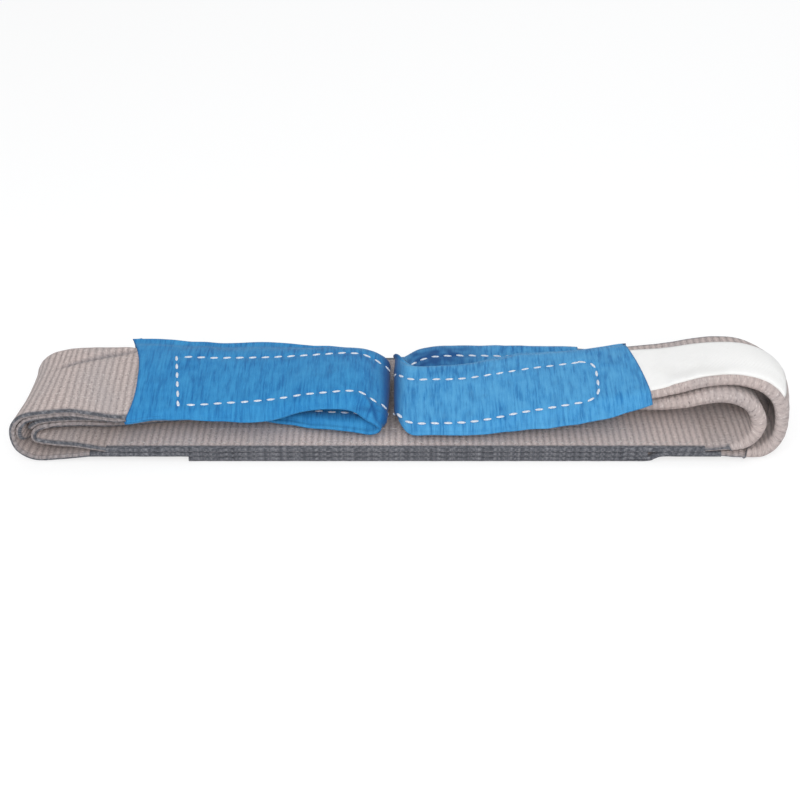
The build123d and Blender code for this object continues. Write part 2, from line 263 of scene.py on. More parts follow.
RIGHT_EYE = [
    Station((180, -26.5, 40.7), (180, 20, 41), 0.5),
    Station((165, -27, 36.4), (165, 20, 38), 0.5),
    Station((149, -27.5, 32), (149, 20.5, 36), 1, EYE_THICK, (3.5, 5.5, 2, 0)),
    Station((110, -32, 26), (110, 19, 32.5), 2, EYE_THICK, (7.5, 4.5, 2.5, 1)),
    Station((70, -35, 20.5), (70, 14.5, 31.3), 1.5, EYE_THICK, (6.5, 5.5, 1, 1.5)),
    Station((40, -38.5, 17.5), (40, 8.5, 29.4), 1.5, EYE_THICK, (5, 5, 0, 2.5)),
    Station((18, -38, 17.2), (18, 6.5, 29), 1.5, EYE_THICK, (5, 4, 0, 2.5)),
    Station((3, -35.5, 16.8), (3, 8, 28.5), 0.8, EYE_THICK, (6, 4, 0, 1)),
    Station((-3.2, -25.5, 18.6), (-3.2, 19, 25.5), 0, EYE_THICK, (5, 8, 0, -3.5)),
    Station((4, -13, 17.0), (3, 33, 21), 0, EYE_THICK, (2, 10, 0, -8.5)),
    Station((18, -5, 15.8), (18, 42, 20.5), -1, EYE_THICK, (2, 11, 0, -10)),
    Station((42, -3, 15.8), (44, 43, 20.5), -1, EYE_THICK, (3, 6.5, 0, -4)),
    Station((75, -4.5, 15.8), (75, 42, 21), -1, EYE_THICK, (3, 11, 0, -9.5)),
    Station((112, -9, 16.4), (112, 39, 22), -0.5, EYE_THICK, (3, 9, 0, -7)),
    Station((140, -21, 20), (140, 31, 23)),
    Station((165, -29, 26.5), (165, 22, 27), 0, 7.0),
    Station((180, -31, 31.5), (180, 20, 31), 0, 7.6),
]
RIGHT_INNER = [
    Station((192, -31.5, 33.5), (192, 18, 32.5), 0, 8.0),
    Station((203, -33.5, 32), (203, 18, 31), 0, 8.0),
    Station((210.2, -37, 28), (210.2, 20, 27), 0, 8.0),
    Station((213.3, -41.5, 21.3), (213.3, 24, 21), 0, 8.0),
    Station((211, -45.5, 15.5), (211, 30, 15.5), 0, 7.4),
    Station((204, -49.2, 11.6), (204, 42, 11.8), 0, 6.6),
    Station((194, -50, 9.9), (194, 49.4, 9.9), 0, 4.4),
    Station((180.3, -50, 8.7), (180.3, 50, 8.7), 0, PLY),
]


# Stations between which each sleeve lies, and the one where the eye's loop meets its inner leg.
LEFT_SLEEVE = (10, 22)
RIGHT_SLEEVE = (11, 22)
CREST = 26

# A pair of points on the middle line for each eye's outer and inner leg.
LEFT_BENDS = ((Vector((-234, 0, 14.7)), Vector((-231.8, 0, 27.5))),
              (Vector((-214, 0, 14.2)), Vector((-214, 0, 19.8))))
RIGHT_BENDS = ((Vector((232, 0, 18)), Vector((228.7, 0, 30.6))),
               (Vector((213, 0, 18.5)), Vector((209.8, 0, 31.1))))


# ------------------------------------------------------------------ materials
class Graph:
    """A node tree with short ways to add and wire its nodes."""

    def __init__(self, tree: bpy.types.NodeTree) -> None:
        """Keep the tree that nodes are added to."""
        self.tree = tree

    def add(self, kind: str, **settings: object) -> bpy.types.Node:
        """Add a node.

        Args:
            kind: the node's type.
            settings: its settings by name.

        Returns:
            The node.
        """
        node = self.tree.nodes.new(kind)
        for name, value in settings.items():
            setattr(node, name, value)
        return node

    def feed(self, socket: Socket, value: object) -> None:
        """Set a socket to a value, or wire it to another node's output.

        Args:
            socket: the input to feed.
            value: a plain value, or the output to wire in.
        """
        if isinstance(value, bpy.types.NodeSocket):
            self.tree.links.new(value, socket)
        else:
            socket.default_value = value

    def math(self, operation: str, a: object, b: object = 0.0) -> Socket:
        """Add a math node.

        Args:
            operation: the node's operation.
            a: first value or socket.
            b: second value or socket.

        Returns:
            The node's output.
        """
        node = self.add("ShaderNodeMath", operation=operation)
        self.feed(node.inputs[0], a)
        self.feed(node.inputs[1], b)
        return node.outputs[0]

    def mix(self, factor: object, a: object, b: object) -> Socket:
        """Mix two colours.

        Args:
            factor: how much of the second colour shows, 0 to 1.
            a: first colour or socket.
            b: second colour or socket.

        Returns:
            The mixed colour.
        """
        node = self.add("ShaderNodeMix", data_type="RGBA", clamp_factor=True)
        self.feed(node.inputs[0], factor)
        self.feed(node.inputs[6], a)
        self.feed(node.inputs[7], b)
        return node.outputs[2]

    def remap(self, value: object, low: object, high: object, to_low: float = 0.0,
              to_high: float = 1.0) -> Socket:
        """Stretch a value's range onto another, held inside it.

        Args:
            value: the value or socket.
            low: where its range starts.
            high: where its range ends.
            to_low: what the start becomes.
            to_high: what the end becomes.

        Returns:
            The stretched value.
        """
        node = self.add("ShaderNodeMapRange", clamp=True)
        for socket, number in zip(node.inputs, (value, low, high, to_low, to_high)):
            self.feed(socket, number)
        return node.outputs[0]

    def noise(self, vector: Socket, scale: object, detail: float = 2.0,
              roughness: float = 0.5) -> Socket:
        """Add a noise texture.

        Args:
            vector: where the pattern is looked up.
            scale: how many patches lie in a metre.
            detail: how many finer layers there are.
            roughness: how strong the finer layers are.

        Returns:
            The pattern's value, about 0.5 on average.
        """
        node = self.add("ShaderNodeTexNoise")
        self.feed(node.inputs["Vector"], vector)
        self.feed(node.inputs["Scale"], scale)
        self.feed(node.inputs["Detail"], detail)
        self.feed(node.inputs["Roughness"], roughness)
        return node.outputs[0]

    def stretch(self, vector: Socket, scale: tuple[float, float, float]) -> Socket:
        """Scale a vector by a different amount along each axis.

        Args:
            vector: the vector.
            scale: the three amounts.

        Returns:
            The scaled vector.
        """
        node = self.add("ShaderNodeMapping", vector_type="POINT")
        self.feed(node.inputs["Vector"], vector)
        self.feed(node.inputs["Scale"], scale)
        return node.outputs[0]


def shade_group(name: str, inputs: dict[str, object], outputs: dict[str, str]) -> tuple[
        bpy.types.NodeTree, Graph, bpy.types.Node, bpy.types.Node]:
    """Start a shader node group with named sockets.

    Args:
        name: the group's name.
        inputs: input names with their starting values; None makes a vector.
        outputs: output names with their socket types.

    Returns:
        The tree, a graph on it, and its input and output nodes.
    """
    tree = bpy.data.node_groups.new(name, "ShaderNodeTree")
    for label, value in inputs.items():
        kind = "NodeSocketVector" if value is None else "NodeSocketFloat"
        socket = tree.interface.new_socket(label, in_out="INPUT", socket_type=kind)
        if value is not None:
            socket.default_value = value
    for label, kind in outputs.items():
        tree.interface.new_socket(label, in_out="OUTPUT", socket_type=kind)
    graph = Graph(tree)
    return tree, graph, graph.add("NodeGroupInput"), graph.add("NodeGroupOutput")


class Weaves:
    """The node groups that the cloth materials share, each built once."""

    def __init__(self) -> None:
        """Build the groups."""
        self.ribs = self._ribs()
        self.fibres = self._fibres()

    @staticmethod
    def _ribs() -> bpy.types.NodeTree:
        """Build cross ribs with lengthwise yarns between them.

        Returns:
            The group, with its height and each pattern on its own.
        """
        tree, g, start, end = shade_group(
            "Woven ribs", {"Vector": None, "Rib": 0.0036, "Yarn": 0.0013, "Wander": 0.3},
            {"Height": "NodeSocketFloat", "Rib": "NodeSocketFloat", "Yarn": "NodeSocketFloat"})
        wander = g.math("SUBTRACT", g.noise(start.outputs["Vector"], 130.0, 2.0), 0.5)
        split = g.add("ShaderNodeSeparateXYZ")
        g.feed(split.inputs[0], start.outputs["Vector"])
        turns = g.math("DIVIDE", split.outputs[0], start.outputs["Rib"])
        turns = g.math("ADD", turns, g.math("MULTIPLY", wander, start.outputs["Wander"]))
        rib = g.math("COSINE", g.math("MULTIPLY", turns, math.tau))
        rib = g.math("MULTIPLY", g.math("ADD", rib, 1.0), 0.5)
        lines = g.math("DIVIDE", split.outputs[1], start.outputs["Yarn"])
        lines = g.math("ADD", lines, g.math("MULTIPLY", wander, 0.8))
        yarn = g.math("COSINE", g.math("MULTIPLY", lines, math.tau))
        yarn = g.math("MULTIPLY", g.math("ADD", yarn, 1.0), 0.5)
        height = g.math("ADD", g.math("MULTIPLY", rib, 0.6), g.math("MULTIPLY", yarn, 0.4))
        g.feed(end.inputs["Height"], height)
        g.feed(end.inputs["Rib"], rib)
        g.feed(end.inputs["Yarn"], yarn)
        return tree

    @staticmethod
    def _fibres() -> bpy.types.NodeTree:
        """Build pale and dark fibre flecks, and slow changes of tone.

        Returns:
            The group, with each pattern as an output.
        """
        tree, g, start, end = shade_group(
            "Fibre flecks", {"Vector": None, "Scale": 900.0, "Pale": 0.62, "Dark": 0.40},
            {"Pale": "NodeSocketFloat", "Dark": "NodeSocketFloat", "Tone": "NodeSocketFloat",
             "Fuzz": "NodeSocketFloat"})
        fleck = g.noise(start.outputs["Vector"], start.outputs["Scale"], 2.0, 0.6)
        for tone, operation in (("Pale", "ADD"), ("Dark", "SUBTRACT")):
            first = start.outputs[tone]
            g.feed(end.inputs[tone], g.remap(fleck, first, g.math(operation, first, 0.12)))
        g.feed(end.inputs["Tone"], g.noise(start.outputs["Vector"], 28.0, 3.0))
        g.feed(end.inputs["Fuzz"], g.noise(start.outputs["Vector"], 2600.0, 2.0))
        return tree


@dataclass(frozen=True)
class Cloth:
    """What every cloth finish starts from: a material with its shader and weave groups."""

    weaves: Weaves

    def start(self, name: str, roughness: float,
              sheen: float) -> tuple[bpy.types.Material, Graph, bpy.types.Node]:
        """Start a material.

        Args:
            name: the material's name.
            roughness: plain roughness of the cloth.
            sheen: how much its fibres catch light at a grazing angle.

        Returns:
            The material, a graph on it, and its Principled shader.
        """
        material = bpy.data.materials.new(name)
        material.use_nodes = True
        graph = Graph(material.node_tree)
        shader = material.node_tree.nodes["Principled BSDF"]
        shader.inputs["Roughness"].default_value = roughness
        shader.inputs["Sheen Weight"].default_value = sheen
        shader.inputs["Sheen Roughness"].default_value = 0.5
        shader.inputs["Specular IOR Level"].default_value = 0.15
        return material, graph, shader

    @staticmethod
    def surface(graph: Graph) -> Socket:
        """Return the piece's own surface coordinates, in metres."""
        return graph.add("ShaderNodeUVMap", uv_map="UVMap").outputs[0]

    @staticmethod
    def placed(graph: Graph, tree: bpy.types.NodeTree, vector: Socket,
               **values: float) -> bpy.types.Node:
        """Place a shared group in a material.

        Args:
            graph: the material's graph.
            tree: the group.
            vector: where its pattern is looked up.
            values: the group's own inputs by name.

        Returns:
            The placed group.
        """
        node = graph.add("ShaderNodeGroup", node_tree=tree)
        graph.feed(node.inputs["Vector"], vector)
        for name, value in values.items():
            node.inputs[name].default_value = value
        return node

    @staticmethod
    def bump(graph: Graph, shader: bpy.types.Node, height: Socket, depth: float) -> None:
        """Raise the surface of a material.

        Args:
            graph: the material's graph.
            shader: its Principled shader.
            height: the relief, 0 to 1.
            depth: how deep the relief is, in metres.
        """
        node = graph.add("ShaderNodeBump")
        node.inputs["Strength"].default_value = 1.0
        node.inputs["Distance"].default_value = depth
        graph.feed(node.inputs["Height"], height)
        graph.feed(shader.inputs["Normal"], node.outputs[0])

    @staticmethod
    def attribute(graph: Graph, name: str) -> Socket:
        """Return a mesh attribute's value."""
        return graph.add("ShaderNodeAttribute", attribute_name=name).outputs["Fac"]


@dataclass(frozen=True)
class WebFinish(Cloth):
    """Coarse ribbed polyester webbing with dark selvedges, whose colours also paint shade."""

    name: str = "webbing"
    pale: Colour = (0.57, 0.475, 0.45, 1)
    deep: Colour = (0.31, 0.262, 0.25, 1)
    cool: Colour = (0.37, 0.345, 0.35, 1)
    fuzz: Colour = (0.78, 0.72, 0.69, 1)
    grime: Colour = (0.085, 0.075, 0.08, 1)
    # The selvedge colours also paint shade in a crease and shadow between the eyes.
    selvedge: Colour = (0.082, 0.085, 0.098, 1)
    selvedge_pale: Colour = (0.24, 0.24, 0.26, 1)
    selvedge_deep: Colour = (0.045, 0.045, 0.053, 1)

    def material(self) -> bpy.types.Material:
        """Build the material.

        Returns:
            The finished material.
        """
        material, g, shader = self.start(self.name, 0.82, 0.12)
        spot = self.surface(g)
        ribs = self.placed(g, self.weaves.ribs, spot, Rib=RIB_PITCH * MM, Yarn=0.0017, Wander=0.22)
        flecks = self.placed(g, self.weaves.fibres, g.stretch(spot, (1, 0.55, 1)), Scale=1000.0,
                             Pale=0.58, Dark=0.42)
        weave = g.math("MULTIPLY", g.math("POWER", ribs.outputs["Rib"], 0.6),
                       g.math("ADD", g.math("MULTIPLY", ribs.outputs["Yarn"], 0.3), 0.7))
        # The shade attribute above nought gives the dark selvedge, and also painted shade in the left
        # leg's crease and painted shadow on the top ply between the eyes; below nought it evens out
        # stretched ribs.
        edge = self.attribute(g, "shade")
        worn = g.math("MULTIPLY", g.remap(edge, 0.0, -1.0), 0.6)
        weave = g.math("ADD", g.math("MULTIPLY", weave, g.math("SUBTRACT", 1.0, worn)),
                       g.math("MULTIPLY", worn, 0.62))
        colour = g.mix(weave, self.deep, self.pale)
        colour = g.mix(g.remap(flecks.outputs["Tone"], 0.45, 0.75, 0.0, 0.55), colour, self.cool)
        colour = g.mix(g.math("MULTIPLY", flecks.outputs["Pale"], 0.5), colour, self.fuzz)
        colour = g.mix(g.math("MULTIPLY", flecks.outputs["Dark"], 0.55), colour, self.grime)
        coarse = g.noise(g.stretch(spot, (420, 900, 1)), 1.0, 3.0, 0.6)
        selvedge_and_shade = g.mix(g.remap(coarse, 0.45, 0.72), self.selvedge, self.selvedge_pale)
        selvedge_and_shade = g.mix(g.remap(coarse, 0.42, 0.30), selvedge_and_shade, self.selvedge_deep)
        colour = g.mix(g.remap(coarse, 0.48, 0.30, 0.0, 0.4), colour, self.deep)
        g.feed(shader.inputs["Base Color"], g.mix(g.remap(edge, 0.0, 1.0), colour, selvedge_and_shade))
        g.feed(shader.inputs["Roughness"], g.remap(flecks.outputs["Tone"], 0.3, 0.7, 0.74, 0.9))
        height = g.math("ADD", g.math("MULTIPLY", ribs.outputs["Height"], 0.8),
                        g.math("MULTIPLY", flecks.outputs["Fuzz"], 0.35))
        self.bump(g, shader, height, 0.00045)
        return material


@dataclass(frozen=True)
class SleeveFinish(Cloth):
    """Bright woven sleeve cloth with slubs running across the strap."""

    name: str = "sleeve_cloth"
    base: Colour = (0.008, 0.150, 0.400, 1)
    pale: Colour = (0.050, 0.300, 0.580, 1)
    deep: Colour = (0.003, 0.060, 0.215, 1)

    def material(self) -> bpy.types.Material:
        """Build the material.

        Returns:
            The finished material.
        """
        material, g, shader = self.start(self.name, 0.68, 0.10)
        spot = self.surface(g)
        slubs = g.noise(g.stretch(spot, (520, 52, 1)), 1.0, 3.0, 0.6)
        patches = g.noise(g.stretch(spot, (110, 90, 1)), 1.0, 2.0, 0.5)
        threads = g.noise(g.stretch(spot, (1500, 150, 1)), 1.0, 2.0, 0.6)
        weave = self.placed(g, self.weaves.ribs, spot, Rib=0.0009, Yarn=0.0011, Wander=0.12)
        flecks = self.placed(g, self.weaves.fibres, spot, Scale=1300.0, Pale=0.60, Dark=0.40)
        colour = g.mix(g.remap(slubs, 0.38, 0.74, 0.0, 0.75), self.base, self.pale)
        colour = g.mix(g.remap(slubs, 0.50, 0.30, 0.0, 0.42), colour, self.deep)
        colour = g.mix(g.remap(patches, 0.48, 0.66, 0.0, 0.35), colour, self.pale)
        colour = g.mix(g.remap(patches, 0.46, 0.30, 0.0, 0.22), colour, self.deep)
        colour = g.mix(g.remap(threads, 0.52, 0.72, 0.0, 0.5), colour, self.pale)
        colour = g.mix(g.remap(flecks.outputs["Tone"], 0.35, 0.7, 0.0, 0.35), colour, self.pale)
        colour = g.mix(g.math("MULTIPLY", flecks.outputs["Dark"], 0.3), colour, self.deep)
        # The shade attribute is painted shade: the sleeve's ends, its tip by the other eye, the right
        # one's hollow and the left one's creases.
        colour = g.mix(self.attribute(g, "shade"), colour, self.deep)
        g.feed(shader.inputs["Base Color"], colour)
        g.feed(shader.inputs["Roughness"], g.remap(slubs, 0.3, 0.7, 0.60, 0.78))
        height = g.math("ADD", g.math("MULTIPLY", weave.outputs["Height"], 0.3),
                        g.math("MULTIPLY", slubs, 0.9))
        self.bump(g, shader, height, 0.00035)
        return material


@dataclass(frozen=True)
class ThreadFinish(Cloth):
    """Twisted sewing thread."""

    name: str = "thread"
    pale: Colour = (0.80, 0.83, 0.87, 1)
    deep: Colour = (0.42, 0.50, 0.62, 1)

    def material(self) -> bpy.types.Material:
        """Build the material.

        Returns:
            The finished material.
        """
        material, g, shader = self.start(self.name, 0.6, 0.1)
        spot = g.add("ShaderNodeTexCoord").outputs["Object"]
        ribs = self.placed(g, self.weaves.ribs, spot, Rib=0.0009, Yarn=0.0012, Wander=0.3)
        flecks = self.placed(g, self.weaves.fibres, spot, Scale=900.0, Pale=0.55, Dark=0.42)
        colour = g.mix(g.math("MULTIPLY", ribs.outputs["Rib"], 0.9), self.deep, self.pale)
        g.feed(shader.inputs["Base Color"], g.mix(flecks.outputs["Pale"], colour, self.pale))
        self.bump(g, shader, ribs.outputs["Height"], 0.0002)
        return material


@dataclass(frozen=True)
class TapeFinish(Cloth):
    """Plain white woven label tape, a little darker along its edges."""

    name: str = "label_tape"
    pale: Colour = (0.93, 0.925, 0.915, 1)
    deep: Colour = (0.66, 0.645, 0.62, 1)

    def material(self) -> bpy.types.Material:
        """Build the material.

        Returns:
            The finished material.
        """
        material, g, shader = self.start(self.name, 0.55, 0.05)
        spot = self.surface(g)
        weave = self.placed(g, self.weaves.ribs, spot, Rib=0.0007, Yarn=0.0008, Wander=0.1)
        flecks = self.placed(g, self.weaves.fibres, spot, Scale=500.0, Pale=0.6, Dark=0.40)
        colour = g.mix(g.math("MULTIPLY", weave.outputs["Height"], 0.8),
                       g.mix(0.35, self.pale, self.deep), self.pale)
        colour = g.mix(g.remap(flecks.outputs["Tone"], 0.55, 0.75, 0.0, 0.35), colour, self.deep)
        colour = g.mix(g.math("MULTIPLY", flecks.outputs["Dark"], 0.12), colour, self.deep)
        g.feed(shader.inputs["Base Color"], g.mix(self.attribute(g, "shade"), colour, self.deep))
        self.bump(g, shader, weave.outputs["Height"], 0.00015)
        return material


@dataclass(frozen=True)
class FloorFinish:
    """A matt white floor that stays white to the eye and keeps a soft shadow."""

    name: str = "floor"
    white: float = 0.86
    lift: float = 0.6
    glow: float = 1.13

    def material(self) -> bpy.types.Material:
        """Build the material.

        Returns:
            The finished material.
        """
        material = bpy.data.materials.new(self.name)
        material.use_nodes = True
        g = Graph(material.node_tree)
        shader = material.node_tree.nodes["Principled BSDF"]
        shader.inputs["Base Color"].default_value = (self.white, self.white, self.white, 1)
        shader.inputs["Roughness"].default_value = 0.95
        glow = g.add("ShaderNodeEmission")
        rays = g.add("ShaderNodeLightPath")
        glow.inputs[1].default_value = self.glow
        blend = g.add("ShaderNodeMixShader")
        g.feed(blend.inputs[0], g.math("MULTIPLY", rays.outputs["Is Camera Ray"], self.lift))
        g.feed(blend.inputs[1], shader.outputs[0])
        g.feed(blend.inputs[2], glow.outputs[0])
        g.feed(material.node_tree.nodes["Material Output"].inputs[0], blend.outputs[0])
        return material


# --------------------------------------------------------------------- meshes
@dataclass(frozen=True)
class Spot:
    """One corner of a cloth grid: its place, its place on the cloth, and its darkening: selvedge and
    painted shade above nought, stretched ribs below.
    """

    place: Vector
    u: float
    v: float
    shade: float = 0.0


@dataclass
class Mesher:
    """Shapes cloth from a bmesh grid and hands it on as a finished object."""

    name: str
    material: bpy.types.Material

    def drape(self, table: list[list[Spot]], capped: bool = True) -> bpy.types.Object:
        """Shape a grid to a table of spots and close its seam.

        Args:
            table: the spots, row by row along the strap.
            capped: close the two ends as well.

        Returns:
            The finished object.
        """
        columns, rows = len(table) - 1, len(table[0]) - 1
        bm = bmesh.new()
        sheet = bm.loops.layers.uv.new("UVMap")
        shade = bm.verts.layers.float.new("shade")
        bmesh.ops.create_grid(bm, x_segments=columns, y_segments=rows, size=0.5)
        spots = {}
        for vert in bm.verts:
            spot = table[round((vert.co.x + 0.5) * columns)][round((vert.co.y + 0.5) * rows)]
            spots[vert] = spot
            vert[shade] = spot.shade
        for face in bm.faces:
            for loop in face.loops:
                spot = spots[loop.vert]
                loop[sheet].uv = (spot.u * MM, spot.v * MM)
        for vert, spot in spots.items():
            vert.co = spot.place * MM
        bmesh.ops.remove_doubles(bm, verts=bm.verts[:], dist=2e-6)
        if capped:
            rim = [edge for edge in bm.edges if edge.is_boundary]
            caps = bmesh.ops.holes_fill(bm, edges=rim, sides=0)["faces"]
            bmesh.ops.triangulate(bm, faces=caps)
        bmesh.ops.dissolve_degenerate(bm, dist=1e-7, edges=bm.edges[:])
        bmesh.ops.recalc_face_normals(bm, faces=bm.faces[:])
        return self.finish(bm)

    def finish(self, bm: bmesh.types.BMesh, sharp: float = 60.0) -> bpy.types.Object:
        """Write a bmesh to a smooth-shaded object with its material.

        Args:
            bm: the mesh, used up here.
            sharp: edges that turn by more than this many degrees stay sharp.

        Returns:
            The finished object.
        """
        mesh = bpy.data.meshes.new(self.name)
        bm.to_mesh(mesh)
        bm.free()
        mesh.shade_smooth()
        mesh.set_sharp_from_angle(angle=math.radians(sharp))
        mesh.materials.append(self.material)
        piece = bpy.data.objects.new(self.name, mesh)
        bpy.context.scene.collection.objects.link(piece)
        return piece


def report(piece: bpy.types.Object, note: str) -> None:
    """Log a finished piece with its face count."""
    LOG.info("%s: %d faces, %s", piece.name, len(piece.data.polygons), note)


# -------------------------------------------------------------------- threads
@dataclass(frozen=True)
class Stitch:
    """One visible stitch: its middle, its direction, which way is up, and its size."""

    place: Vector
    ahead: Vector
    up: Vector
    long: float = 5.2
    wide: float = 1.7
    high: float = 0.9

    def matrix(self) -> Matrix:
        """Find where a round bead must go to become this stitch.

        Returns:
            The bead's placing, in metres.
        """
        ahead = self.ahead.normalized()
        up = (self.up - ahead * self.up.dot(ahead)).normalized()
        turn = Matrix((ahead, up.cross(ahead), up)).transposed().to_4x4()
        size = Matrix.Diagonal((self.long * MM, self.wide * MM, self.high * MM, 1))
        return Matrix.Translation(self.place * MM) @ turn @ size


def stitches(name: str, material: bpy.types.Material, rows: list[Stitch]) -> bpy.types.Object:
    """Sew rows of stitches as one piece, each a small drawn-out bead.

    Args:
        name: the piece's name.
        material: the thread.
        rows: the stitches.

    Returns:
        The finished object.
    """
    bm = bmesh.new()
    for stitch in rows:
        bmesh.ops.create_uvsphere(bm, u_segments=8, v_segments=6, radius=0.5,
                                  matrix=stitch.matrix() @ Matrix.Rotation(math.pi / 2, 4, "Y"))
    return Mesher(name, material).finish(bm)


# ------------------------------------------------------------------------ web
@dataclass(frozen=True)
class WebLine:
    """A corner of the web's outline: across, out, which way it faces, and where on the web."""

    x: float
    out: float
    face_x: float
    face_out: float
    along: float
    edge: float
    front: bool


@dataclass
class Web:
    """A length of the woven web along a run, flat or folded to half width.

    `first` and `step` say how lengths along the run count on the web, so that
    ribs meet where two pieces join. The fold has closed once the web is
    `opening` narrower than flat. `dent` lifts or sinks the front face, with
    painted shade along a sunk crease, and a last function paints shadow on it.
    `shadow_paint` darkens it.
    """

    run: Run
    fold: Fold
    material: bpy.types.Material
    first: float = 0.0
    step: int = 1
    pitch: float = 0.9
    ply: float = 3.3
    flats: int = 34
    bends: int = 10
    opening: float = 2.5
    rib: float = 0.13
    bulge: float = 0.0
    dent: Callable[[float, float], float] | None = None
    # painted shadow on the front face, by place along the web and distance across
    shadow_paint: Callable[[float, float], float] | None = None

    @staticmethod
    def spread(length: float, count: int) -> list[float]:
        """Distances from a cut edge inwards, close together at the edge."""
        tight = [k * min(length / 2.7, 1.0) for k in (0.0, 0.15, 0.45, 0.85, 1.4, 2.5)]
        return tight + [tight[-1] + (length - tight[-1]) * (k + 1) / count for k in range(count)]

    def lay(self, cross: Frame) -> list[tuple[float, ...]]:
        """Lay the web's middle line across one cross line.

        Args:
            cross: the cross line.

        Returns:
            Rows of across (from the open edge), out, facing across, facing
            out, and distance over the web.
        """
        wide = cross.half * 2
        if self.fold is Fold.NONE:
            half = self.spread(wide / 2, self.flats)
            return [(d, 0.0, 0.0, 1.0, d) for d in half + [wide - d for d in reversed(half[:-1])]]
        turn = math.pi * smooth((WEB_WIDTH - wide) / self.opening)
        swell = self.bulge * smooth((WEB_WIDTH - wide) / 20) * (1 - smooth(cross.sleeve[1] / 2.5))
        radius = max((cross.thick - self.ply) / 2 - 0.05, 0.03)
        first = wide - turn / math.pi * (radius + swell + self.ply / 2)
        arc = turn * (radius + swell)
        flap = max(WEB_WIDTH - first - arc, 0.05)
        if self.fold is Fold.FAR:
            flap += smooth((94 - wide) / 30) * max(first - 0.6 - flap, 0)
        flap = min(flap, first - 0.4)
        line = [(d, radius + swell * smooth(1 - (first - d) / 9), 0.0, 1.0, d)
                for d in self.spread(first, self.flats)]
        for k in range(1, self.bends + 1):
            a = turn * k / self.bends
            line.append((first + (radius + swell) * math.sin(a), (radius + swell) * math.cos(a),
                         math.sin(a), math.cos(a), first + (radius + swell) * a))
        bend_across, bend_out = line[-1][:2]
        for d in reversed(self.spread(flap, self.flats)[:-1]):
            gone = flap - d
            out = bend_out - gone * math.sin(turn) + swell * smooth(gone / 9)
            line.append((bend_across + gone * math.cos(turn), out,
                         math.sin(turn), math.cos(turn), first + arc + gone))
        return line

    def outline(self, cross: Frame) -> list[WebLine]:
        """Walk round the web's section, over its front face and back under it.

        Args:
            cross: the cross line.

        Returns:
            The corners of the closed section.
        """
        line = self.lay(cross)
        total = line[-1][4]
        side = -1 if self.fold is Fold.NEAR else 1
        ring = []
        for front in (True, False):
            sign = 1 if front else -1
            for across, out, face_across, face_out, along in (line if front else reversed(line)):
                edge = min(along, total - along)
                near = max(1 - edge / 1.3, 0.0)
                half = self.ply / 2 * (1 - near ** 2.4) ** 0.45 * sign
                face_x = side * face_across
                x = side * (across - cross.half) + face_x * half
                ring.append(WebLine(x, out + face_out * half, face_x * sign, face_out * sign,
                                    along, edge, front))
        return ring

    def shade_of(self, spot: WebLine) -> float:
        """Find how the yarn looks at a spot.

        Args:
            spot: the corner of the section.

        Returns:
            How much selvedge shows, 0 to 1, or how stretched the ribs are, 0 to -1.
        """
        if self.fold is Fold.NONE:
            return 1 - smooth((spot.edge - 2.4) / 1.4)
        dark = (1.0 if spot.front else 0.5) * (1 - smooth((spot.edge - 0.7) / 1.6))
        return dark if dark > 0 else -smooth((abs(spot.face_x) - 0.1) / 0.4)

    def build(self, name: str, start: float, stop: float) -> bpy.types.Object:
        """Build the piece of web between two lengths of the run.

        Args:
            name: the piece's name.
            start: where it starts.
            stop: where it stops.

        Returns:
            The finished object.
        """
        columns = max(int((stop - start) / self.pitch), 2)
        table = []
        for i in range(columns + 1):
            length = start + (stop - start) * i / columns
            cross = self.run.at(length)
            u = self.first + self.step * length
            row = []
            for spot in self.outline(cross):
                shade = self.shade_of(spot)
                fade = smooth((spot.edge - 0.8) / 3.5) * (1 + 0.75 * min(shade, 0))
                side = 3.0 if spot.front else 7.0
                sway = 0.5 * noise.noise(Vector((u / 16, spot.along / 30, side + 4)))
                lift = self.rib * math.cos(math.tau * (u + sway) / RIB_PITCH) * fade
                lift += 0.14 * noise.noise(Vector((u / 7, spot.along / 9, side)))
                if self.dent and spot.front:
                    dent = self.dent(length, spot.x / cross.half)
                    lift += dent
                    # A sunk crease gets painted shade along its valley, in the selvedge colour.
                    shade = max(shade, -0.35 * dent) if dent < 0 else shade
                # Painted shadow, as between the tips of the two eyes.
                if self.shadow_paint and spot.front:
                    shade = max(shade, self.shadow_paint(u, spot.x))
                place = cross.point(spot.x, spot.out + cross.rise(spot.x))
                place += (cross.across * spot.face_x + cross.normal * spot.face_out) * lift
                row.append(Spot(place, u, spot.along + (0 if spot.front else 130), shade))
            table.append(row)
        return Mesher(name, self.material).drape(table)


